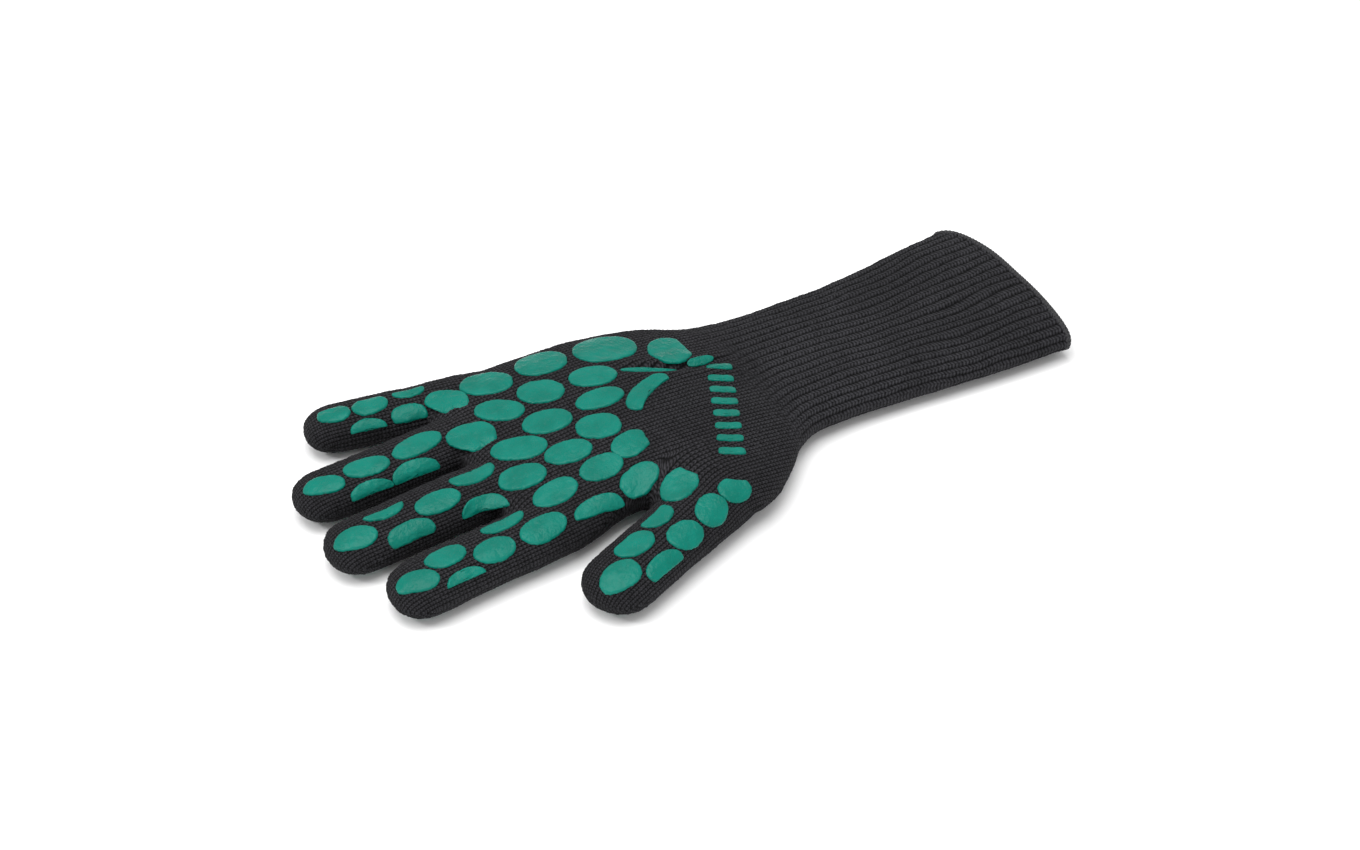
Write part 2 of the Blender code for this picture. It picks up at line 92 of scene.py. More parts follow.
# name: half width at root and end, half height at root and end, root to knuckle,
# where the base bends from and to, where the tip bends from and to
FINGER_FORMS = {
    "index": ((14.6, 14.9), (9.6, 8.7), 19.0, (7.0, 32.0), (33.0, 57.0)),
    "middle": ((14.5, 14.4), (9.6, 8.8), 19.0, (7.0, 32.0), (35.0, 61.0)),
    "ring": ((13.7, 13.3), (9.6, 8.7), 19.0, (7.0, 32.0), (34.0, 60.0)),
    "little": ((12.4, 12.2), (9.1, 8.2), 21.0, (11.0, 32.0), (32.0, 55.0)),
    "thumb": ((16.8, 15.6), (10.6, 9.0), 23.5, (20.0, 41.0), (41.0, 60.0)),
}


def ramp(x, a, b):
    k = np.clip((x - a) / (b - a), 0, 1)
    return k * k * (3 - 2 * k)


def power(v, e):
    return np.sign(v) * np.abs(v) ** (2.0 / e)


class Finger:
    """A finger of the glove, placed by its two joints."""

    def __init__(self, name):
        self.name = name
        self.width, self.height, reach, self.base_bend, self.tip_bend = FINGER_FORMS[name]
        knuckle = np.array(JOINTS[name + "_knuckle"]["pos_m"]) / MM
        middle = np.array(JOINTS[name + "_middle"]["pos_m"]) / MM
        along = (middle - knuckle)[:2]
        self.along = along / np.linalg.norm(along)
        self.across = np.array([-self.along[1], self.along[0]])
        self.root = knuckle[:2] - self.along * reach
        low = low_high("shell_" + name + "_tip")[0][0]
        c, r = abs(self.along[0]), self.width[1]
        self.length = (self.root[0] - low - r * (1 - c)) / c
        self.start = -34.0 if name == "index" else -20.0
        self.lean = {"thumb": 1.2, "index": 0.4}.get(name, 0.0)  # how far the sleeve lies towards the thumb's side of its joints
        angle = np.linspace(math.pi / 2, -math.pi / 2, 400)
        w, h = self.half_width(40.0), self.half_height(40.0)
        self.section_t, self.section_z = w * power(np.cos(angle), FINGER_EXPONENT), h + h * power(np.sin(angle), FINGER_EXPONENT)
        self.section_arc = np.concatenate([[0], np.cumsum(np.hypot(np.diff(self.section_t), np.diff(self.section_z)))])

    def local(self, x, y):
        dx, dy = x - self.root[0], y - self.root[1]
        return dx * self.along[0] + dy * self.along[1], dx * self.across[0] + dy * self.across[1]

    def plan(self, s, t):
        return (self.root[0] + s * self.along[0] + t * self.across[0],
                self.root[1] + s * self.along[1] + t * self.across[1])

    def half_width(self, s):
        k = np.clip(s / self.length, 0, 1)
        return self.width[0] + (self.width[1] - self.width[0]) * k

    def half_height(self, s):
        k = np.clip(s / self.length, 0, 1)
        return self.height[0] + (self.height[1] - self.height[0]) * k

    def wrap(self, s, a):
        """The point of the sleeve at s along it and a round it from its top line, and the way out of it there."""
        side = np.sign(a)
        t = np.interp(np.abs(a), self.section_arc, self.section_t)
        z = np.interp(np.abs(a), self.section_arc, self.section_z)
        dt = np.interp(np.abs(a) + 0.6, self.section_arc, self.section_t) - np.interp(np.abs(a) - 0.6, self.section_arc, self.section_t)
        dz = np.interp(np.abs(a) + 0.6, self.section_arc, self.section_z) - np.interp(np.abs(a) - 0.6, self.section_arc, self.section_z)
        x, y = self.plan(s, side * t + self.lean)
        n = np.stack([-dz * side * self.across[0], -dz * side * self.across[1], dt], 1)
        n[:, 2] = np.maximum(n[:, 2], 0.12)
        return np.stack([x, y, FLOOR + z], 1), n / np.linalg.norm(n, axis=1, keepdims=True)

    def unwrap(self, p):
        """s and a of points on the sleeve."""
        s, t = self.local(p[:, 0], p[:, 1])
        t = t - self.lean
        d = np.hypot(np.abs(t)[:, None] - self.section_t[None], p[:, 2][:, None] - FLOOR - self.section_z[None])
        return s, np.sign(t) * self.section_arc[d.argmin(1)]

    def point(self, s):
        x, y = self.plan(s, 0.0)
        return (x * MM, y * MM, FLOOR * MM)


FINGERS = {n: Finger(n) for n in FINGER_FORMS}
SHIFT = FINGERS["index"].root - np.array([-84.0, -33.3])
WRIST_START, WRIST_END = 36.0 + SHIFT[0], 62.0 + SHIFT[0]

# x, low edge, high edge, half height of the flat hand and cuff
STATIONS = np.array([
    (-98.0, -41.5, 64.0, 8.3), (-86.0, -45.0, 69.0, 9.4), (-74.0, -45.0, 68.4, 10.2), (-62.0, -43.8, 67.6, 10.9),
    (-50.0, -41.4, 67.0, 11.4), (-40.0, -40.8, 66.6, 11.6), (-30.0, -48.0, 66.0, 11.9), (-20.0, -58.0, 65.2, 12.0),
    (-8.0, -65.6, 63.2, 11.8), (2.0, -66.6, 61.2, 11.5), (14.0, -61.2, 57.7, 11.0), (27.0, -49.6, 50.9, 10.2),
    (37.0, -38.6, 48.8, 9.3), (48.0, -33.0, 48.2, 8.7), (58.0, -31.7, 47.8, 8.4), (70.0, -31.4, 47.7, 8.2),
    (100.0, -33.4, 48.2, 7.9), (135.0, -36.8, 52.3, 7.9), (170.0, -39.0, 56.2, 8.4), (190.0, -40.2, 59.6, 8.6),
])
GRID_X = np.arange(-100.0, 200.0, 1.0)


def smoothed(values, spread):
    """A station value at every GRID_X, with its corners rounded over spread."""
    line = np.interp(GRID_X, STATIONS[:, 0], values)
    k = np.exp(-0.5 * (np.arange(-20, 21) / spread) ** 2)
    padded = np.pad(line, 20, mode="edge")
    return np.convolve(padded, k / k.sum(), mode="valid")


EDGE_LOW, EDGE_HIGH, HALF = smoothed(STATIONS[:, 1], 2.6), smoothed(STATIONS[:, 2], 3.0), smoothed(STATIONS[:, 3], 5.0)


def hand_section(x):
    """Middle, half width and half height of the hand and cuff at row x."""
    p = np.asarray(x) - SHIFT[0]
    low, high, h = (np.interp(p, GRID_X, e) for e in (EDGE_LOW, EDGE_HIGH, HALF))
    return (low + high) / 2 + SHIFT[1], (high - low) / 2, h


# ------------------------------------------------------------------ noise
def lattice(ix, iy, iz, seed):
    h = (ix.astype(np.int64) * 73856093) ^ (iy.astype(np.int64) * 19349663) ^ (iz.astype(np.int64) * 83492791) ^ (seed * 2654435761)
    h = (h ^ (h >> 13)) * 1274126177 & 0xFFFFFFFF
    h = (h ^ (h >> 16)) * 2246822519 & 0xFFFFFFFF
    return ((h >> 8) & 0xFFFF) / 32767.5 - 1.0


def noise(p, size, seed):
    """Smooth value noise from -1 to 1 on points p (n, 3), with features about size across."""
    q = p / size
    i = np.floor(q).astype(np.int64)
    f = q - i
    f = f * f * (3 - 2 * f)
    total = np.zeros(len(p))
    for dx in (0, 1):
        for dy in (0, 1):
            for dz in (0, 1):
                w = (f[:, 0] if dx else 1 - f[:, 0]) * (f[:, 1] if dy else 1 - f[:, 1]) * (f[:, 2] if dz else 1 - f[:, 2])
                total += w * lattice(i[:, 0] + dx, i[:, 1] + dy, i[:, 2] + dz, seed)
    return total


# ------------------------------------------------------------------ closed smooth form of the whole glove
def loft(rings, points, faces):
    """Adds a closed tube through rings (n, m, 3) to points and faces."""
    n, m = rings.shape[:2]
    first = sum(len(p) for p in points)
    points.append(rings.reshape(-1, 3))
    points.append(np.array([rings[0].mean(0), rings[-1].mean(0)]))
    a, b = first + n * m, first + n * m + 1
    for i in range(n - 1):
        for j in range(m):
            k = (j + 1) % m
            faces.append((first + i * m + j, first + i * m + k, first + (i + 1) * m + k, first + (i + 1) * m + j))
    for j in range(m):
        k = (j + 1) % m
        faces.append((a, first + k, first + j))
        faces.append((b, first + (n - 1) * m + j, first + (n - 1) * m + k))


def finger_rings(f, sides=56):
    angle = np.linspace(0, 2 * math.pi, sides, endpoint=False)
    r = f.width[1] * 1.02
    body = np.linspace(f.start, f.length - r, 34)
    end = f.length - r + r * np.sin(np.linspace(0.04, 1.0, 22) * math.pi / 2)
    rings = []
    for s in np.concatenate([body, end]):
        u = max(0.0, (s - (f.length - r)) / r)
        cap = max(1e-3, (1 - u ** 2.25)) ** (1 / 2.25)
        top = max(1e-3, (1 - max(0.0, (s - (f.length - 19.0)) / 19.0) ** 2.6)) ** (1 / 2.3)
        w, h = f.half_width(s) * cap, f.half_height(s) * top
        if s < 2.0:  # the sleeve sinks into the palm
            h -= 0.9 * ramp(-s, -2.0, 20.0)
            if f.name == "index":
                w, h = w * (1 - 0.3 * ramp(-s, 8.0, 34.0)), h * (1 - 0.25 * ramp(-s, 10.0, 34.0))
        t = w * power(np.cos(angle), FINGER_EXPONENT)
        z = FLOOR + f.half_height(s) * 0.985 + h * power(np.sin(angle), FINGER_EXPONENT) * np.where(np.sin(angle) < 0, 0.985, 1.0)
        x, y = f.plan(s, t + f.lean)
        rings.append(np.stack([x, y, z], 1))
    return np.array(rings)


def hand_rings(sides=120):
    angle = np.linspace(0, 2 * math.pi, sides, endpoint=False)
    begin = -95.0 + SHIFT[0]
    xs = np.concatenate([begin + 9.0 * (1 - np.cos(np.linspace(0.06, 1, 9) * math.pi / 2)), np.arange(begin + 11.0, MOUTH_X + 9.0, 2.5)])
    rings = []
    for x in xs:
        mid, w, h = hand_section(x)
        u = max(0.0, 1 - (x - begin) / 9.0)
        cap = max(1e-3, 1 - u ** 2.0) ** 0.5
        y = mid + (w - 7.0 * (1 - cap)) * power(np.cos(angle), 3.0)
        z = FLOOR + h + h * (0.55 + 0.45 * cap) * power(np.sin(angle), 3.0)
        rings.append(np.stack([np.full(sides, x), y, z], 1))
    return np.array(rings)


def web_rings(sides=64):
    """The web between the palm and the thumb, a flat rounded disc."""
    angle = np.linspace(0, 2 * math.pi, sides, endpoint=False)
    x0, y0, reach, h = -23.0 + SHIFT[0], -40.5 + SHIFT[1], 15.5, 10.3
    rings = []
    for k in np.linspace(-0.995, 0.995, 21):
        level = math.sin(k * math.pi / 2)
        r = reach * (1 - abs(level) ** 3.2) ** (1 / 3.2)
        rings.append(np.stack([x0 + r * np.cos(angle), y0 + r * np.sin(angle), np.full(sides, FLOOR + h + h * level)], 1))
    return np.array(rings)


def as_mesh(name, points, faces):
    mesh = bpy.data.meshes.new(name)
    mesh.from_pydata((np.asarray(points) * MM).tolist(), [], [tuple(f) for f in faces])
    mesh.update()
    return mesh


def raw_form():
    points, faces = [], []
    loft(hand_rings(), points, faces)
    loft(web_rings(), points, faces)
    for f in FINGERS.values():
        loft(finger_rings(f), points, faces)
    mesh = as_mesh("raw", np.concatenate(points), faces)
    bm = bmesh.new()
    bm.from_mesh(mesh)
    bmesh.ops.recalc_face_normals(bm, faces=bm.faces)
    bm.to_mesh(mesh)
    bm.free()
    return mesh


def remeshed(mesh, voxel, rounds):
    """Points in millimetres and quads of the union of the mesh's closed parts, with soft creases."""
    o = bpy.data.objects.new("remesh", mesh)
    bpy.context.scene.collection.objects.link(o)
    m = o.modifiers.new("union", "REMESH")
    m.mode, m.voxel_size, m.adaptivity = "VOXEL", voxel * MM, 0.0
    s = o.modifiers.new("soft", "SMOOTH")
    s.factor, s.iterations = 0.5, rounds
    out = bpy.data.meshes.new_from_object(o.evaluated_get(bpy.context.evaluated_depsgraph_get()))
    points, faces = read(out)
    bpy.data.objects.remove(o)
    bpy.data.meshes.remove(out)
    return points, faces


def read(mesh):
    points = np.zeros(len(mesh.vertices) * 3, np.float32)
    mesh.vertices.foreach_get("co", points)
    loops = np.zeros(len(mesh.loops), np.int32)
    mesh.loops.foreach_get("vertex_index", loops)
    return points.reshape(-1, 3).astype(float) / MM, loops.reshape(-1, 4)


def normals(points, quads):
    a = points[quads[:, 2]] - points[quads[:, 0]]
    b = points[quads[:, 3]] - points[quads[:, 1]]
    n = np.cross(a, b)
    out = np.zeros_like(points)
    for k in range(4):
        for c in range(3):
            out[:, c] += np.bincount(quads[:, k], weights=n[:, c], minlength=len(points))
    return out / np.maximum(np.linalg.norm(out, axis=1, keepdims=True), 1e-12)


# ------------------------------------------------------------------ where a point belongs
PARTS = ["hand", "cuff"] + [n + end for n in FINGERS for end in ("_base", "_tip")]


def part_of(p):
    """The body each point (n, 3) is assigned to."""
    part = np.where(p[:, 0] > WRIST_START, 1, 0)
    best = np.full(len(p), 1e9)
    for i, f in enumerate(FINGERS.values()):
        s, t = f.local(p[:, 0], p[:, 1])
        gap = np.abs(t) - f.half_width(s)
        reach = 2.2 if f.name == "thumb" else 6.0
        mine = (s > f.base_bend[0]) & (gap < reach) & (gap < best)
        best = np.where(mine, gap, best)
        part = np.where(mine, np.where(s > f.tip_bend[0], 3 + 2 * i, 2 + 2 * i), part)
    return part


# ------------------------------------------------------------------ knit
WALE, RIB, COURSE = 2.2, 5.2, 1.65


def knit_coordinates(p):
    """Across the wales of the jersey and of the rib, and along them, in stitches, and the share of rib."""
    x, y, z = p[:, 0], p[:, 1], p[:, 2]
    mid, w, h = hand_section(x)
    side = np.tanh((mid - y) / (0.35 * w))
    u, v, height, turn = y.copy(), x.copy(), h.copy(), np.zeros(len(p))
    best, share = np.full(len(p), 1e9), np.zeros(len(p))
    fu, fv, fh, fside, fturn = y.copy(), x.copy(), h.copy(), side.copy(), np.zeros(len(p))
    for f in FINGERS.values():
        s, t = f.local(x, y)
        gap = np.abs(t) - f.half_width(s)
        if f.name == "thumb":
            w_f = ramp(s, -18, 16) * ramp(-np.abs(t), -25, -17)
            near = w_f > 0
        else:
            w_f = ramp(s, -16, 10)
            near = (gap < best) & (x < HAND_LOW[0] + 34) & (y > FINGERS["index"].root[1] - 24)
        use = near & (w_f > 0)
        best = np.where(near, gap, best)
        share = np.where(use, w_f, share)
        fu = np.where(use, f.root[1] - t, fu)
        fv = np.where(use, f.root[0] - s, fv)
        fh = np.where(use, f.half_height(s), fh)
        fside = np.where(use, np.tanh(t / 4.0), fside)
        r = f.width[1]
        fturn = np.where(use, np.arctan2(np.maximum(0, s - (f.length - r)), np.abs(t) + 0.5), fturn)
    u = u + (fu - u) * share
    v = v + (fv - v) * share
    height = height + (fh - height) * share
    side = side + (fside - side) * share
    turn = fturn * share
    drop = np.clip(height - np.abs(z - FLOOR - height), 0, None)
    u_flat = u
    u = u - side * drop * np.cos(turn)
    v = v - drop * np.sin(turn)
    rib = ramp(x, 18.0, 46.0)
    wander = np.column_stack([x * 0.35, y, z * 0.3])
    wave = 0.7 * np.sin(x / 15.0 + y / 26.0) + 0.4 * np.sin(x / 7.3 - y / 11.0 + 1.3) + 1.5 * noise(wander, 9.0, 71) + 0.6 * noise(wander, 4.0, 73)
    ru = (u_flat - mid) / w * 47.0 - side * drop + wave * ramp(x, 40, 80)
    return u / WALE, ru / RIB, v / COURSE, rib


def stitch(u, v, groove):
    """Height from 0 to 1 of knitted V stitches."""
    f = u - np.floor(u)
    a = np.abs(f - 0.5) * 2
    column = np.abs(np.sin(math.pi * f)) ** groove
    centre = 1 - 0.3 * np.exp(-(((f - 0.5) / 0.1) ** 2))
    strand = 0.5 + 0.5 * np.cos(2 * math.pi * (v + 0.6 * a))
    return column * centre * (0.45 + 0.55 * strand)


FOLDS = [  # plan points, half width, depth
    ([(-16, 29.5), (-6, 25.4), (4, 21.2), (12, 18.6), (24, 16.4), (36, 15.6)], 2.5, 2.1),
    ([(150, -31), (157, -32.5), (164, -36)], 1.5, 1.0),
    ([(143, -28.5), (152, -28.0), (160, -29.5), (167, -33)], 1.5, 0.8),
    ([(128, 2), (140, 0.5), (154, 1.5)], 1.6, 0.7),
    ([(70, -8), (90, -10.5), (104, -9)], 2.2, 0.45),
    ([(34, -30), (46, -21), (60, -17)], 3.0, 0.8),
    ([(38, -33), (52, -28), (66, -26)], 2.2, 0.6),
]


def fold_depth(p):
    out = np.zeros(len(p))
    for line, width, depth in FOLDS:
        q = np.array(line, float) + SHIFT
        best = np.full(len(p), 1e9)
        along = np.zeros(len(p))
        total = np.linalg.norm(np.diff(q, axis=0), axis=1).sum()
        done = 0.0
        for a, b in zip(q[:-1], q[1:]):
            d = b - a
            n = np.linalg.norm(d)
            k = np.clip(((p[:, :2] - a) @ d) / n ** 2, 0, 1)
            dist = np.linalg.norm(p[:, :2] - a - k[:, None] * d, axis=1)
            along = np.where(dist < best, (done + k * n) / total, along)
            best = np.minimum(best, dist)
            done += n
        ends = np.clip(np.sin(math.pi * np.clip(along, 0.02, 0.98)), 0, 1) ** 0.6
        out += depth * ends * (np.exp(-((best / width) ** 2)) - 0.35 * np.exp(-(((best - 2.2 * width) / (1.1 * width)) ** 2)))
    return out


def build_surface():
    points, quads = remeshed(raw_form(), VOXEL, 26)
    n = normals(points, quads)
    up = np.clip(n[:, 2], 0, 1)
    shape = 0.38 * noise(points, 24, 3) + 0.22 * noise(points, 11, 5) + 0.1 * noise(points, 5, 7)
    shape -= fold_depth(points) * ramp(up, 0.15, 0.75)
    shape *= np.where(points[:, 2] < FLOOR + 3, 0.5, 1.0)
    points = points + n * shape[:, None]
    return points, quads, normals(points, quads)


print("surface")
SURFACE, QUADS, SURFACE_NORMALS = build_surface()
print("surface", len(SURFACE), len(QUADS))
TREE = BVHTree.FromPolygons((SURFACE).tolist(), QUADS.tolist())
COORDS = knit_coordinates(SURFACE)


def mouth_x(y):
    """Row x of the mouth's rim at row y."""
    mid, w, _ = hand_section(np.full_like(np.asarray(y, float), MOUTH_X - BOW))
    reach = np.clip((y - mid) / w, -1, 1)
    return MOUTH_X + HEM_OVERHANG - BOW * np.abs(reach) ** 2.4 + SKEW * np.maximum(0, -reach) ** 2.4 - 2.6 * np.maximum(0, reach) ** 14


# ------------------------------------------------------------------ pieces
def new_object(name, points, faces, n=None, attributes=None):
    """A smooth-shaded object from the used points only."""
    faces = np.asarray(faces)
    used, inverse = np.unique(faces.ravel(), return_inverse=True)
    faces = inverse.reshape(faces.shape)
    mesh = bpy.data.meshes.new(name)
    count, corners = len(faces), faces.shape[1]
    mesh.vertices.add(len(used))
    mesh.vertices.foreach_set("co", (points[used] * MM).astype(np.float32).ravel())
    mesh.loops.add(count * corners)
    mesh.loops.foreach_set("vertex_index", faces.astype(np.int32).ravel())
    mesh.polygons.add(count)
    mesh.polygons.foreach_set("loop_start", np.arange(0, count * corners, corners, dtype=np.int32))
    mesh.update(calc_edges=True)
    mesh.validate()
    mesh.polygons.foreach_set("use_smooth", np.ones(len(mesh.polygons), bool))
    for key, values in (attributes or {}).items():
        values = np.asarray(values)[used]
        if values.ndim == 1:
            a = mesh.attributes.new(key, "FLOAT", "POINT")
            a.data.foreach_set("value", values.astype(np.float32))
        else:
            a = mesh.attributes.new(key, "FLOAT_VECTOR", "POINT")
            a.data.foreach_set("vector", values.astype(np.float32).ravel())
    if n is not None and len(mesh.vertices) == len(used):
        mesh.normals_split_custom_set_from_vertices(n[used].astype(float).tolist())
    o = bpy.data.objects.new(name, mesh)
    bpy.context.scene.collection.objects.link(o)
    return o


def attach(o, part):
    """Parents a hand piece to the hand's body empty; a cuff or finger piece only gets its transform baked into its
    mesh.
    """
    body = PARTS[part]
    if body == "hand":
        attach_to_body(o, "hand")
    elif body == "cuff":
        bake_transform(o)
    else:
        f = FINGERS[body.split("_")[0]]
        if body.endswith("_base"):
            f.point(f.base_bend[0])
            f.point(f.base_bend[1])
            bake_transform(o)
        else:
            f.point(f.tip_bend[0])
            f.point(f.tip_bend[1])
            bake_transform(o)


def split(prefix, node, points, faces, n, attributes, material):
    """One piece for each body from a surface that covers several."""
    faces = np.asarray(faces)
    owner = part_of(points[faces].mean(1))
    made = []
    for part, body in enumerate(PARTS):
        mine = faces[owner == part]
        if len(mine) == 0:
            continue
        o = new_object(prefix + "_" + body, points, mine, n, attributes)
        o.data.materials.append(material)
        attach(o, part)
        if node + "_" + body in frame["nodes"]:
            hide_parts(node + "_" + body)
        made.append(o)
    return made


# ------------------------------------------------------------------ materials
class Nodes:
    """Short forms for building a material's node tree."""

    def __init__(self, name):
        self.material = bpy.data.materials.new(name)
        self.material.use_nodes = True
        self.tree = self.material.node_tree
        self.tree.nodes.clear()
        self.out = self.tree.nodes.new("ShaderNodeOutputMaterial")
        self.shader = self.tree.nodes.new("ShaderNodeBsdfPrincipled")
        self.link(self.shader.outputs[0], self.out.inputs[0])

    def link(self, a, b):
        self.tree.links.new(a, b)

    def put(self, socket, value):
        if isinstance(value, bpy.types.NodeSocket):
            self.link(value, socket)
        else:
            socket.default_value = value

    def math(self, operation, a, b=0.0, c=0.0, clamp=False):
        n = self.tree.nodes.new("ShaderNodeMath")
        n.operation, n.use_clamp = operation, clamp
        for socket, value in zip(n.inputs, (a, b, c)):
            self.put(socket, value)
        return n.outputs[0]

    def ramp(self, value, low, high, to_low=0.0, to_high=1.0):
        n = self.tree.nodes.new("ShaderNodeMapRange")
        n.interpolation_type = "SMOOTHSTEP"
        for socket, v in zip(n.inputs, (value, low, high, to_low, to_high)):
            self.put(socket, v)
        return n.outputs[0]

    def attribute(self, name):
        n = self.tree.nodes.new("ShaderNodeAttribute")
        n.attribute_name = name
        return n

    def noise(self, scale, detail=2.0, rough=0.5, vector=None):
        n = self.tree.nodes.new("ShaderNodeTexNoise")
        n.inputs["Scale"].default_value = scale
        n.inputs["Detail"].default_value = detail
        n.inputs["Roughness"].default_value = rough
        if vector is None:
            vector = self.coordinates()
        self.link(vector, n.inputs["Vector"])
        return n.outputs[0]

    def coordinates(self):
        if not hasattr(self, "_coordinates"):
            self._coordinates = self.attribute("rest_at").outputs["Vector"]
        return self._coordinates

    def mix(self, factor, a, b):
        n = self.tree.nodes.new("ShaderNodeMix")
        n.data_type = "RGBA"
        self.put(n.inputs[0], factor)
        for socket, colour in ((n.inputs[6], a), (n.inputs[7], b)):
            if isinstance(colour, bpy.types.NodeSocket):
                self.link(colour, socket)
            else:
                socket.default_value = (*colour, 1.0)
        return n.outputs[2]

    def bump(self, height, distance, strength=1.0, normal=None):
        n = self.tree.nodes.new("ShaderNodeBump")
        n.inputs["Strength"].default_value = strength
        n.inputs["Distance"].default_value = distance
        self.link(height, n.inputs["Height"])
        if normal is not None:
            self.link(normal, n.inputs["Normal"])
        return n.outputs[0]

    def set(self, **values):
        for key, value in values.items():
            self.put(self.shader.inputs[key.replace("_", " ")], value)


def stitch_nodes(n, u, v, groove):
    """The same V stitches as stitch(), as nodes."""
    f = n.math("FRACT", u)
    centred = n.math("SUBTRACT", f, 0.5)
    a = n.math("MULTIPLY", n.math("ABSOLUTE", centred), 2.0)
    column = n.math("POWER", n.math("SINE", n.math("MULTIPLY", f, math.pi)), groove)
    centre = n.ramp(a, 0.0, 0.3, 0.7, 1.0)
    wave = n.math("MULTIPLY_ADD", a, 0.6, v)
    strand = n.math("COSINE", n.math("MULTIPLY", wave, 2 * math.pi))
    strand = n.math("MULTIPLY_ADD", strand, 0.275, 0.725)
    return n.math("MULTIPLY", n.math("MULTIPLY", column, centre), strand)


def knit_material():
    n = Nodes("knit_yarn")
    knit = n.attribute("knit")
    parts = n.tree.nodes.new("ShaderNodeSeparateXYZ")
    n.link(knit.outputs["Vector"], parts.inputs[0])
    share = n.attribute("rib_share").outputs["Fac"]
    drift = n.math("MULTIPLY_ADD", n.noise(260.0, 2.0), 0.5, -0.25)
    v = n.math("ADD", parts.outputs[2], drift)
    u = n.math("MULTIPLY_ADD", drift, 0.35, parts.outputs[0])
    jersey = stitch_nodes(n, u, v, 0.7)
    rib = stitch_nodes(n, n.math("MULTIPLY_ADD", drift, 0.3, parts.outputs[1]), v, 0.42)
    height = n.math("MULTIPLY_ADD", share, n.math("SUBTRACT", rib, jersey), jersey)
    fibre = n.noise(2600.0, 3.0, 0.65)
    tall = n.math("MULTIPLY_ADD", fibre, 0.4, height)
    patch = n.noise(38.0, 3.0)
    tuft = n.noise(720.0, 3.0, 0.6)
    # painted shade: the knit colour is darker down in the stitch grooves and lighter on the loop crests, following the
    # same stitch height as the bump; fibre, tuft and patch noise add random tone
    shade = n.math("MULTIPLY_ADD", height, 1.35, n.math("MULTIPLY_ADD", fibre, 0.8, -0.78))
    shade = n.math("MULTIPLY_ADD", tuft, 1.1, n.math("SUBTRACT", shade, 0.55), clamp=True)
    shade = n.math("MULTIPLY", shade, n.ramp(patch, 0.3, 0.7, 0.84, 1.12), clamp=True)
    colour = n.mix(shade, (0.0022, 0.0022, 0.0025), (0.04, 0.0395, 0.0445))
    fluff = n.ramp(n.noise(1500.0, 4.0, 0.7), 0.62, 0.74)
    colour = n.mix(n.math("MULTIPLY", fluff, 0.45), colour, (0.08, 0.08, 0.088))
    n.set(Base_Color=colour, Roughness=0.9, Normal=n.bump(tall, 0.00048))
    n.shader.inputs["Specular IOR Level"].default_value = 0.1
    n.shader.inputs["Sheen Weight"].default_value = 0.02
    n.shader.inputs["Sheen Roughness"].default_value = 0.45
    return n.material


def silicone_material():
    n = Nodes("silicone_print")
    lumps = n.noise(420.0, 3.0, 0.55)
    pits = n.noise(1500.0, 2.0, 0.5)
    broad = n.noise(90.0, 2.0)
    rough = n.ramp(n.math("MULTIPLY_ADD", pits, 0.4, n.math("MULTIPLY", broad, 0.6)), 0.3, 0.7, 0.1, 0.24)
    colour = n.mix(n.ramp(broad, 0.25, 0.75), (0.0004, 0.127, 0.093), (0.0008, 0.162, 0.121))
    # painted sheen: the green turns paler and less saturated on the crests of the lumps that the bump raises
    colour = n.mix(n.ramp(lumps, 0.58, 0.82, 0.0, 0.3), colour, (0.008, 0.215, 0.17))
    height = n.math("MULTIPLY_ADD", pits, 0.3, lumps)
    n.set(Base_Color=colour, Roughness=rough, Normal=n.bump(height, 0.0006))
    n.shader.inputs["Specular IOR Level"].default_value = 0.15
    return n.material


def lining_material():
    n = Nodes("brushed_lining")
    fine = n.noise(1700.0, 4.0, 0.7)
    wide = n.noise(60.0, 2.0)
    shade = n.math("MULTIPLY_ADD", fine, 0.8, n.math("MULTIPLY", wide, 0.25), clamp=True)
    colour = n.mix(shade, (0.03, 0.03, 0.029), (0.11, 0.108, 0.104))
    n.set(Base_Color=colour, Roughness=0.92, Normal=n.bump(fine, 0.0005))
    n.shader.inputs["Specular IOR Level"].default_value = 0.2
    n.shader.inputs["Sheen Weight"].default_value = 0.25
    n.shader.inputs["Sheen Roughness"].default_value = 0.5
    return n.material


def hem_material():
    n = Nodes("overlocked_hem")
    knit = n.attribute("knit")
    parts = n.tree.nodes.new("ShaderNodeSeparateXYZ")
    n.link(knit.outputs["Vector"], parts.inputs[0])
    wave = n.math("MULTIPLY_ADD", parts.outputs[1], 0.8, parts.outputs[0])
    loop = n.math("ABSOLUTE", n.math("SINE", n.math("MULTIPLY", wave, math.pi)))
    ply = n.math("SINE", n.math("MULTIPLY", n.math("SUBTRACT", parts.outputs[1], n.math("MULTIPLY", parts.outputs[0], 2.0)), 2 * math.pi))
    height = n.math("MULTIPLY_ADD", ply, 0.18, loop)
    fibre = n.noise(3000.0, 3.0, 0.65)
    # painted shade: the hem colour is darker in the hollows between the overlock loops and lighter on their crests,
    # from the same loop height as the bump, with random fibre tone
    shade = n.math("MULTIPLY_ADD", height, 0.7, n.math("MULTIPLY_ADD", fibre, 0.5, -0.2), clamp=True)
    colour = n.mix(shade, (0.0075, 0.0075, 0.0082), (0.043, 0.043, 0.047))
    n.set(Base_Color=colour, Roughness=0.85, Normal=n.bump(n.math("MULTIPLY_ADD", fibre, 0.3, height), 0.0003))
    n.shader.inputs["Specular IOR Level"].default_value = 0.22
    n.shader.inputs["Sheen Weight"].default_value = 0.12
    n.shader.inputs["Sheen Roughness"].default_value = 0.45
    return n.material


KNIT, SILICONE, LINING, HEM = knit_material(), silicone_material(), lining_material(), hem_material()


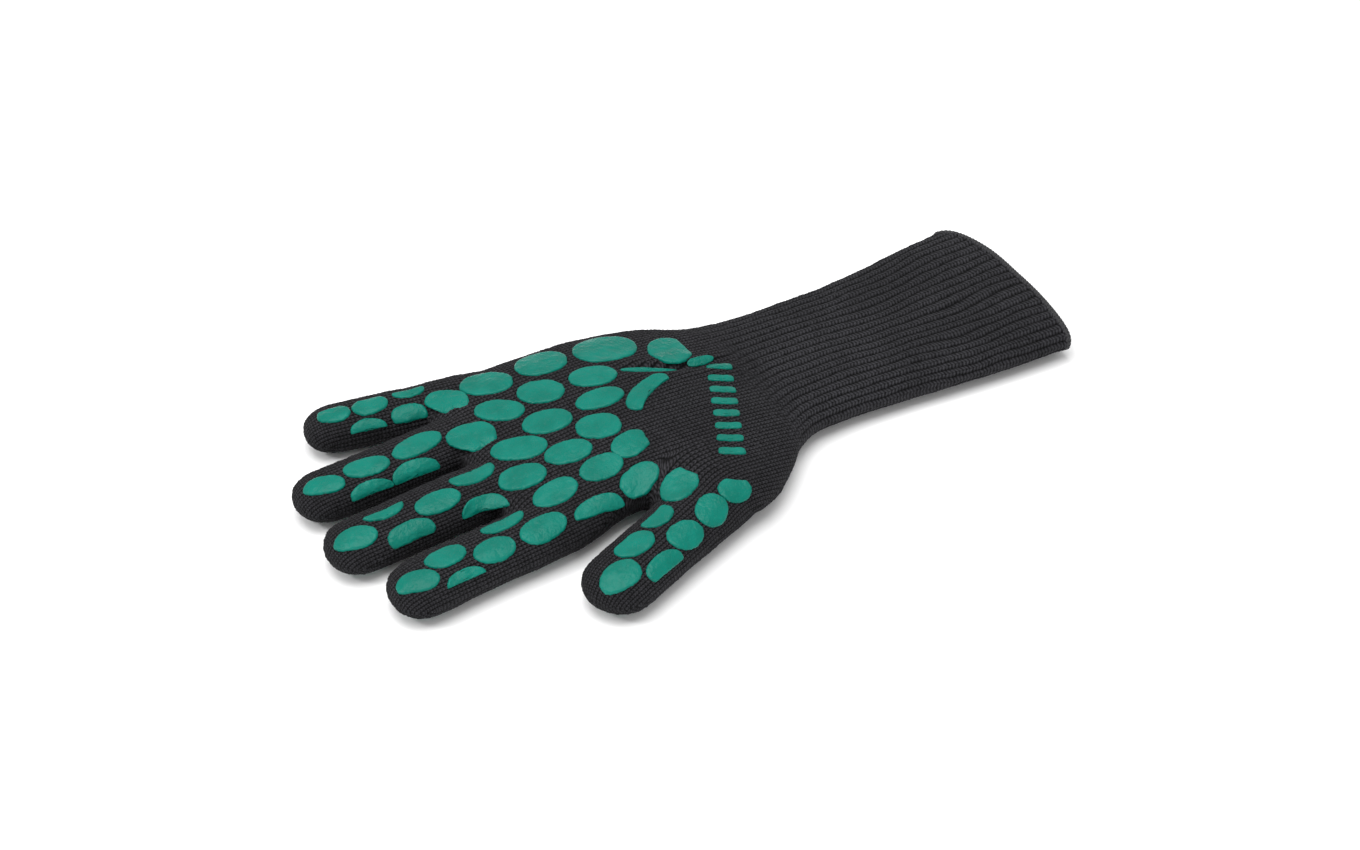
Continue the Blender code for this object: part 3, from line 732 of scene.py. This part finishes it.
# ------------------------------------------------------------------ knitted shell
def build_shell():
    u, ru, v, rib = COORDS
    jersey = stitch(u, v, 0.7)
    ribs = stitch(ru, v, 0.5)
    f = ru - np.floor(ru)
    bank = 1 - np.exp(-(np.minimum(f, 1 - f) / 0.11) ** 2)
    relief = (1 - rib) * (0.34 * jersey - 0.17) + rib * (0.2 * bank - 0.24 + 0.34 * ribs)
    relief = relief + 0.12 * noise(SURFACE, 1.2, 11) + 0.1 * noise(SURFACE, 3.1, 13)
    tip = np.zeros(len(SURFACE))  # the ends of the fingers are the fuzziest
    for f in FINGERS.values():
        s, t = f.local(SURFACE[:, 0], SURFACE[:, 1])
        tip = np.maximum(tip, ramp(s, f.length - 26.0, f.length - 6.0) * (np.abs(t) < 20))
    relief = relief + tip * (0.16 * noise(SURFACE, 0.9, 15) + 0.14 * noise(SURFACE, 1.8, 17))
    points = SURFACE + SURFACE_NORMALS * relief[:, None]
    points[:, 2] = np.maximum(points[:, 2], 0.05)
    centre = points[QUADS].mean(1)
    keep = centre[:, 0] < mouth_x(centre[:, 1]) - 1.4
    quads = QUADS[keep]
    n = normals(points, QUADS)
    attributes = {"knit": np.stack([u, ru, v], 1), "rib_share": rib, "rest_at": SURFACE * MM}
    return split("knit", "shell", points, quads, n, attributes, KNIT)


build_shell()


# ------------------------------------------------------------------ lining
def build_lining():
    points, quads = remeshed(raw_form(), 1.5, 6)
    n = normals(points, quads)
    points = points - n * 2.7
    points[:, 2] = np.maximum(points[:, 2], FLOOR + 1.6)
    centre = points[quads].mean(1)
    quads = quads[centre[:, 0] < mouth_x(centre[:, 1]) - 1.2]
    points = points + normals(points, quads) * (0.25 * noise(points, 4, 21))[:, None]
    flipped = quads[:, ::-1]
    return split("lining", "liner", points, flipped, -normals(points, quads), {"rest_at": points * MM}, LINING)


build_lining()


# ------------------------------------------------------------------ hem
def build_hem():
    around = 900
    profile = 18
    angle = np.linspace(0, 2 * math.pi, 4000, endpoint=False)
    x0 = MOUTH_X - BOW
    mid, w, h = hand_section(x0)
    y, z = mid + w * power(np.cos(angle), 3.0), FLOOR + h + h * power(np.sin(angle), 3.0)
    step = np.hypot(np.diff(np.append(y, y[0])), np.diff(np.append(z, z[0])))
    arc = np.concatenate([[0], np.cumsum(step)])
    total = arc[-1]
    at = np.linspace(0, total, around, endpoint=False)
    y, z = np.interp(at, arc, np.append(y, y[0])), np.interp(at, arc, np.append(z, z[0]))
    x = mouth_x(y)
    path = np.stack([x, y, z], 1)
    for _ in range(6):
        path = (np.roll(path, 1, 0) + 2 * path + np.roll(path, -1, 0)) / 4
    ahead = np.roll(path, -1, 0) - np.roll(path, 1, 0)
    ahead /= np.linalg.norm(ahead, axis=1, keepdims=True)
    out = np.cross(ahead, [1.0, 0, 0])
    out /= np.linalg.norm(out, axis=1, keepdims=True)
    end = np.cross(ahead, out)
    end *= np.sign(end[:, :1])
    a = np.linspace(0, 2 * math.pi, profile, endpoint=False)
    turns = at[:, None] / 1.9
    ring = a[None, :] / (2 * math.pi)
    loops = np.abs(np.sin(math.pi * (turns + 0.8 * ring * 4))) * 0.3
    uneven = 0.25 * np.sin(at / 13.0) + 0.15 * np.sin(at / 5.1 + 1)
    out_by = -1.55 + (1.95 + loops + 0 * ring) * power(np.cos(a), 2.4)[None, :]
    end_by = -1.85 + uneven[:, None] * 0.5 + (1.75 + 0.5 * loops) * power(np.sin(a), 2.4)[None, :]
    points = path[:, None, :] + out[:, None, :] * out_by[..., None] + end[:, None, :] * end_by[..., None]
    points = points.reshape(-1, 3)
    points[:, 2] = np.maximum(points[:, 2], 0.05)
    i, j = np.meshgrid(np.arange(around), np.arange(profile), indexing="ij")
    i2, j2 = (i + 1) % around, (j + 1) % profile
    faces = np.stack([i * profile + j, i2 * profile + j, i2 * profile + j2, i * profile + j2], -1).reshape(-1, 4)
    n = normals(points, faces)
    middle = path[:, None, :] + out[:, None, :] * -1.55 + end[:, None, :] * -1.85
    if ((points - np.repeat(middle, profile, 1).reshape(-1, 3)) * n).sum() < 0:
        faces, n = faces[:, ::-1], -n
    knit = np.stack([np.repeat(turns, profile, 1).ravel(), np.tile(ring * 4, (around, 1)).ravel(), np.zeros(around * profile)], 1)
    o = new_object("hem_overlock", points, faces, n, {"knit": knit, "rest_at": points * MM})
    o.data.materials.append(HEM)
    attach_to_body(o, "cuff")
    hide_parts("cuff_hem")
    return o


build_hem()

# ------------------------------------------------------------------ silicone print
PALM_DOTS = [  # plan x, y, half length, half width, turn in degrees
    (-66.0, 52.7, 11.6, 7.9, -34), (-40.0, 51.2, 11.7, 8.8, -15), (-11.6, 45.6, 14.4, 10.2, -18),
    (-69.6, 32.9, 11.0, 6.7, -36), (-49.7, 33.2, 10.7, 7.7, -34), (-26.1, 29.8, 10.7, 7.0, -20),
    (12.6, 30.8, 9.2, 10.4, 0), (-73.9, 7.0, 12.0, 7.2, -25), (-56.4, 14.4, 10.9, 7.2, -18), (-30.9, 14.9, 11.2, 6.1, -4),
    (-39.9, -0.5, 10.0, 7.9, -17), (-10.6, 8.6, 14.0, 6.6, 27), (-80.7, -8.8, 10.4, 7.2, -13), (-58.1, -7.2, 10.5, 6.5, -13),
    (-33.4, -16.6, 9.1, 7.0, 14), (-73.6, -24.5, 10.4, 6.5, 6), (-50.6, -22.2, 10.2, 6.5, 4), (-39.5, -34.6, 9.5, 6.4, 14),
    (-61.6, -40.6, 11.7, 6.2, 3), (-27.5, -47.0, 9.6, 7.4, 30),
]
PALM_EDGE = -42.0
FOLDED_DOTS = [(-2.0, 23.4, 12.6, 1.7, -24), (21.5, 19.5, 6.4, 2.1, -4)]
FINGER_DOTS = {  # along, round from the top line, half length, half width, turn in degrees
    "index": [(3.9, 5.9, 10.9, 6.3, 4), (16, -7.3, 10.3, 6, 3), (27.1, 5.6, 9.4, 6, -4), (45.7, -1.8, 9.3, 5.7, -1),
              (44.2, 13.6, 9.3, 5.8, 0), (61.9, 3.6, 9.2, 5.8, -22)],
    "middle": [(13.7, -3.5, 10.6, 6.6, -1), (18.5, 15.2, 9.8, 6.1, 0), (34, 3.9, 10.2, 5.7, -2), (50.9, 12.7, 10.7, 6.2, -2),
               (55.4, -5.1, 9.4, 6, -4), (72.2, 3.4, 9.4, 6.2, -15)],
    "ring": [(3.3, 7.3, 10.4, 6.6, -9), (25.5, 1.6, 12, 5.5, 4), (31.5, 14, 10.9, 6.1, -3), (49.7, 2.1, 10.2, 5.4, -11),
             (52.1, 15, 9.9, 5.8, -5), (69.3, 2.5, 8.8, 5.2, -22)],
    "little": [(6.4, 7.4, 9.2, 5.4, -12), (20.4, -3.9, 7.4, 5.3, -6), (23.2, 9.9, 8, 5.3, -5), (38.2, 0.5, 8, 5.5, 5),
               (41.3, 12.4, 8, 5.2, -5), (54, 0.2, 7.2, 5.4, -17)],
    "thumb": [(0.4, 8.6, 7.4, 6, -12), (16, 8.7, 8.2, 6.8, 22), (33.3, -6.6, 8.1, 6, -6), (33.8, 9.3, 8.4, 6.9, -14),
              (51.7, 13.8, 10, 6, -5), (51.8, -3.5, 9.5, 6.4, -12), (68.5, 3.3, 9.4, 7.3, -13)],
}
FINGER_EDGES = {"index": (13.1, -8.1), "middle": (15.8, -4.7), "ring": (15.4, -4.2), "little": (12.6, -3.8), "thumb": (16.4, -9.1)}
BACK_EDGE = 9.0
CLEAR_CENTRE, CLEAR_RADIUS, PRINT_END_X = np.array([9.5, -23.0]), 36.0, 20.0
DOT_HEIGHT = 0.95


def cut(poly, inside):
    """A closed outline with the part outside a straight line removed. inside(points) is the distance inside the line."""
    out = []
    d = inside(poly)
    for k in range(len(poly)):
        a, b, da, db = poly[k - 1], poly[k], d[k - 1], d[k]
        if (da >= 0) != (db >= 0):
            out.append(a + (b - a) * (da / (da - db)))
        if db >= 0:
            out.append(b)
    return np.array(out, float).reshape(-1, 2)


def resampled(poly, count):
    closed = np.vstack([poly, poly[:1]])
    arc = np.concatenate([[0], np.cumsum(np.linalg.norm(np.diff(closed, axis=0), axis=1))])
    at = np.linspace(0, arc[-1], count, endpoint=False)
    return np.stack([np.interp(at, arc, closed[:, 0]), np.interp(at, arc, closed[:, 1])], 1)


def oval(cx, cy, a, b, turn, exponent=2.15):
    k = np.linspace(0, 2 * math.pi, 160, endpoint=False)
    x, y = a * power(np.cos(k), exponent), b * power(np.sin(k), exponent)
    c, s = math.cos(math.radians(turn)), math.sin(math.radians(turn))
    return np.stack([cx + x * c - y * s, cy + x * s + y * c], 1)


def clear_of_mark(p):
    away = p - CLEAR_CENTRE
    d = np.linalg.norm(away, axis=1, keepdims=True)
    return np.where(d < CLEAR_RADIUS, CLEAR_CENTRE + away / d * CLEAR_RADIUS, p)


def palm_outlines(top):
    out = []
    for dot in PALM_DOTS:
        p = cut(oval(*dot), lambda q: PRINT_END_X - q[:, 0])
        if dot[0] < -50:
            p = cut(p, lambda q: q[:, 1] - (PALM_EDGE if top else PALM_EDGE + 5.0))
        if not top:
            p = cut(p, lambda q: 56.0 - q[:, 1])
            if dot[0] < -25:
                p = cut(p, lambda q: q[:, 1] + 36.0)
        if len(p) < 8 or np.ptp(p[:, 1]) < 3.0:
            continue
        out.append((clear_of_mark(p) + SHIFT, lambda q: cast(q, top)))
    return out


def finger_outlines(top):
    """On the palm side the dots wrap round the sleeve, and on the back they lie on its flat."""
    out = []
    for name, dots in FINGER_DOTS.items():
        f = FINGERS[name]
        near, far = FINGER_EDGES[name] if top else (BACK_EDGE, -BACK_EDGE)
        for dot in dots:
            p = oval(*dot)
            p = cut(p, lambda q: near - q[:, 1])
            p = cut(p, lambda q: q[:, 1] - far)
            if name == "thumb" and dot[0] < 10:
                x, y = f.plan(p[:, 0], p[:, 1] + f.lean)
                s, t = f.local(*(clear_of_mark(np.stack([x, y], 1) - SHIFT) + SHIFT).T)
                p = np.stack([s, t - f.lean], 1)
            if top:
                out.append((p, lambda q, f=f: cast_round(f, q)))
            elif len(p) > 8 and np.ptp(p[:, 1]) > 3.0:
                out.append((np.stack(f.plan(p[:, 0] * 0.94, p[:, 1] * 0.9), 1), lambda q: cast(q, False)))
    return out


def bar_outlines(top):
    start, end, out = np.array([1.5, -41.0]), np.array([26.3, 11.6]), []
    along = (end - start) / np.linalg.norm(end - start)
    across = np.array([along[1], -along[0]])
    turn = math.degrees(math.atan2(across[1], across[0]))
    for k in range(8):
        c = start + (end - start) * k / 7
        out.append((oval(c[0], c[1], 5.8, 2.1, turn, 5.0) + SHIFT, lambda q: cast(q, top)))
    return out


def smooth_normal(where, face):
    corners = QUADS[face]
    weight = 1.0 / (np.linalg.norm(SURFACE[corners] - where, axis=1) + 0.05)
    return (SURFACE_NORMALS[corners] * weight[:, None]).sum(0)


def bridging(u, v, height):
    """How far a patch is lifted to span a narrow crease and not dive into it, with the slopes of its smooth run."""
    u, v = (u - u.mean()) / 10.0, (v - v.mean()) / 10.0
    terms = np.stack([np.ones(len(u)), u, v, u * u, u * v, v * v], 1)
    weight = np.ones(len(u))
    for _ in range(8):
        c = np.linalg.lstsq(terms * weight[:, None], height * weight, rcond=None)[0]
        below = terms @ c - height
        weight = np.where(below > 0.2, 0.1, 1.0)
    lift = np.clip(below - 0.25, 0.0, 10.0)
    return lift, (c[1] + 2 * c[3] * u + c[4] * v) / 10.0, (c[2] + c[4] * u + 2 * c[5] * v) / 10.0


def unit(n):
    return n / np.linalg.norm(n, axis=1, keepdims=True)


def bridged(xy, hit, n, top):
    lift, gx, gy = bridging(xy[:, 0], xy[:, 1], hit[:, 2] if top else -hit[:, 2])
    flat = unit(np.stack([-gx, -gy, np.ones(len(gx))], 1))
    if not top:
        flat[:, 2] *= -1
        lift = -lift
    blend = ramp(np.abs(lift), 0.0, 0.8)[:, None]
    return hit + np.column_stack([np.zeros((len(xy), 2)), lift]), unit(n * (1 - blend) + flat * blend)


def cast_round(f, sa):
    """The same for points given along and round a finger's sleeve."""
    p, out = f.wrap(sa[:, 0], sa[:, 1])
    d, n = np.zeros(len(p)), np.zeros((len(p), 3))
    for k in range(len(p)):
        inward = Vector((-out[k]).tolist())
        start = Vector((p[k] + out[k] * 7.0).tolist())
        left, found = 16.0, None
        while left > 0:
            where, facing, face, gone = TREE.ray_cast(start, inward, left)
            if where is None:
                break
            if facing.dot(inward) < -0.1:
                found = where
                break
            start, left = where + inward * 0.02, left - gone - 0.02
        if found is None:
            found, _, face, _ = TREE.find_nearest(Vector(p[k].tolist()))
        d[k] = (np.array(found) - p[k]) @ out[k]
        n[k] = smooth_normal(np.array(found), face)
    lift, _, _ = bridging(sa[:, 0], sa[:, 1], d)
    blend = ramp(lift, 0.0, 0.8)[:, None]
    return p + out * (d + lift)[:, None], unit(unit(n) * (1 - blend) + out * blend)


def cast(xy, top):
    """Points and smooth normals of the surface above or below each point of the plan."""
    hit, n = np.zeros((len(xy), 3)), np.zeros((len(xy), 3))
    down = Vector((0, 0, -1)) if top else Vector((0, 0, 1))
    z = 60.0 if top else -30.0
    last = None
    for k, (x, y) in enumerate(xy):
        where, _, face, _ = TREE.ray_cast(Vector((x, y, z)), down)
        if where is None:
            where, _, face, _ = TREE.find_nearest(Vector((x, y, FLOOR + (14.0 if top else 2.0))))
        hit[k] = where
        n[k] = smooth_normal(hit[k], face)
    return bridged(xy, hit, unit(n), top)


def print_piece(outlines, top, height, edge, segments, lift=0.0, scallop=0.22):
    """Domed silicone patches that follow the fabric."""
    points, faces, levels = [], [], []
    first = 0
    for number, (outline, project) in enumerate(outlines):
        rim = resampled(outline, segments)
        for _ in range(2):
            rim = (np.roll(rim, 1, 0) + 2 * rim + np.roll(rim, -1, 0)) / 4
        centre = rim.mean(0)
        away = rim - centre
        reach = np.linalg.norm(away, axis=1)
        ragged = scallop * noise(np.column_stack([rim, np.full(len(rim), number * 3.1)]), 1.15, 31) + 0.3 * noise(np.column_stack([rim, np.full(len(rim), number * 3.1)]), 6.0, 33) * (scallop / 0.22)
        rim = centre + away * ((reach + ragged) / reach)[:, None]
        away, reach = rim - centre, np.linalg.norm(rim - centre, axis=1)
        inner = np.minimum(edge, reach * 0.45)
        rings = [centre[None, :] + away * k for k in (0.2, 0.45, 0.68)]
        depth = [reach * (1 - k) for k in (0.2, 0.45, 0.68)]
        for k in (1.0, 0.72, 0.48, 0.28, 0.13, 0.04, 0.0):
            d = inner * k
            if k == 1.0:
                rings.append(centre + away * ((reach - d) / reach)[:, None])
            else:
                rings.append(centre + away * ((reach - d) / reach)[:, None])
            depth.append(d)
        xy = np.concatenate([centre[None, :]] + rings)
        d = np.concatenate([[reach.min()]] + depth)
        limit = np.concatenate([[inner.min()]] + [inner] * len(rings))
        k = np.clip(d / limit, 0, 1)
        level = height * (1 - (1 - k) ** 2.4) ** (1 / 2.0)
        level = level + 0.16 * height * np.clip(d / reach.max(), 0, 1)
        hit, n = project(xy)
        lump = 0.16 * noise(hit, 3.4, 41) + 0.09 * noise(hit, 1.5, 43)
        level = level + lump * ramp(k, 0.1, 0.9) * (height / 0.95)
        level = level + lift - 0.06
        p = hit + n * level[:, None]
        skirt = hit[-segments:] - n[-segments:] * 0.5
        p = np.vstack([p, skirt])
        d_all = np.concatenate([k, np.zeros(segments)])
        count = len(rings) + 1
        ring_ids = first + 1 + np.arange(count * segments).reshape(count, segments)
        a, b = ring_ids[:-1], ring_ids[1:]
        a2, b2 = np.roll(a, -1, 1), np.roll(b, -1, 1)
        quads = np.stack([a, b, b2, a2], -1).reshape(-1, 4)
        inner_ring = ring_ids[0]
        half = segments // 2
        fan = np.stack([np.full(half, first), inner_ring[0::2][:half], inner_ring[1::2][:half], np.roll(inner_ring[0::2], -1)[:half]], -1)
        faces.append(np.vstack([quads, fan]))
        points.append(p)
        levels.append(d_all)
        first += len(p)
    points, faces, levels = np.vstack(points), np.vstack(faces), np.concatenate(levels)
    points[:, 2] = np.maximum(points[:, 2], 0.02)
    n = normals(points, faces)
    a, b, c = points[faces[:, 0]], points[faces[:, 1]], points[faces[:, 2]]
    if (np.cross(b - a, c - a)[:, 2].sum() > 0) != top:
        faces = faces[:, ::-1]
        n = -n
    return points, faces, n, levels


def build_print():
    segments = 104
    for top, prefix, node in ((True, "print_palm", "grip_palm"), (False, "print_back", "grip_back")):
        outlines = palm_outlines(top) + finger_outlines(top)
        points, faces, n, levels = print_piece(outlines, top, DOT_HEIGHT if top else 0.85, 1.25, segments if top else 64)
        if top:
            folded = [(oval(*d) + SHIFT, lambda q: cast(q, True)) for d in FOLDED_DOTS]
            more, more_faces, more_n, more_levels = print_piece(folded, top, 0.5, 0.8, segments, lift=0.1)
            faces = np.vstack([faces, more_faces + len(points)])
            points, n, levels = np.vstack([points, more]), np.vstack([n, more_n]), np.concatenate([levels, more_levels])
        split(prefix, node, points, faces, n, {"rest_at": points * MM, "rim": levels}, SILICONE)
        bars, bar_faces, bar_n, bar_levels = print_piece(bar_outlines(top), top, 0.8, 1.1, 64, scallop=0.1)
        o = new_object("bars_palm" if top else "bars_back", bars, bar_faces, bar_n, {"rest_at": bars * MM, "rim": bar_levels})
        o.data.materials.append(SILICONE)
        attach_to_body(o, "hand")
        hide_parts("grip_bars_palm" if top else "grip_bars_back")


build_print()


# ------------------------------------------------------------------ stage, lights and camera
def build_stage():
    mesh = bpy.data.meshes.new("floor")
    r = 3.0
    mesh.from_pydata([(-r, -r, 0), (r, -r, 0), (r, r, 0), (-r, r, 0)], [], [(0, 1, 2, 3)])
    floor = bpy.data.objects.new("floor", mesh)
    bpy.context.scene.collection.objects.link(floor)
    m = bpy.data.materials.new("floor_white")
    m.use_nodes = True
    shader = m.node_tree.nodes["Principled BSDF"]
    shader.inputs["Base Color"].default_value = (0.93, 0.93, 0.93, 1)
    shader.inputs["Roughness"].default_value = 0.9
    shader.inputs["Specular IOR Level"].default_value = 0.0
    mesh.materials.append(m)

    world = bpy.data.worlds.new("studio")
    bpy.context.scene.world = world
    world.use_nodes = True
    world.node_tree.nodes["Background"].inputs[0].default_value = (1.0, 1.0, 1.0, 1)
    world.node_tree.nodes["Background"].inputs[1].default_value = 0.72

    def area(name, at, size, energy, aim=(0, 0, 0)):
        light = bpy.data.lights.new(name, "AREA")
        light.shape, light.size, light.energy = "SQUARE", size, energy
        o = bpy.data.objects.new(name, light)
        bpy.context.scene.collection.objects.link(o)
        o.location = at
        o.rotation_euler = (Vector(aim) - Vector(at)).to_track_quat("-Z", "Y").to_euler()

    area("top", (-0.15, 0.0, 1.25), 1.1, 14.5)
    area("left", (-1.1, 0.25, 0.95), 0.26, 5.0)
    area("front", (-0.55, -1.2, 0.28), 0.12, 3.2)


def build_camera():
    back = Vector((math.sin(math.radians(-30)) * math.cos(math.radians(40)),
                   -math.cos(math.radians(-30)) * math.cos(math.radians(40)), math.sin(math.radians(40))))
    target = Vector((SHIFT[0] * MM, SHIFT[1] * MM, 0.008))
    data = bpy.data.cameras.new("camera")
    data.lens, data.sensor_width = 80.0, 36.0
    camera = bpy.data.objects.new("camera", data)
    bpy.context.scene.collection.objects.link(camera)
    camera.location = target + back * 1.30
    camera.rotation_euler = (-back).to_track_quat("-Z", "Y").to_euler()
    data.clip_start, data.clip_end = 0.01, 20.0
    bpy.context.scene.camera = camera


build_stage()
build_camera()
bpy.context.scene.view_settings.view_transform = "Standard"
bpy.context.scene.view_settings.look = "None"
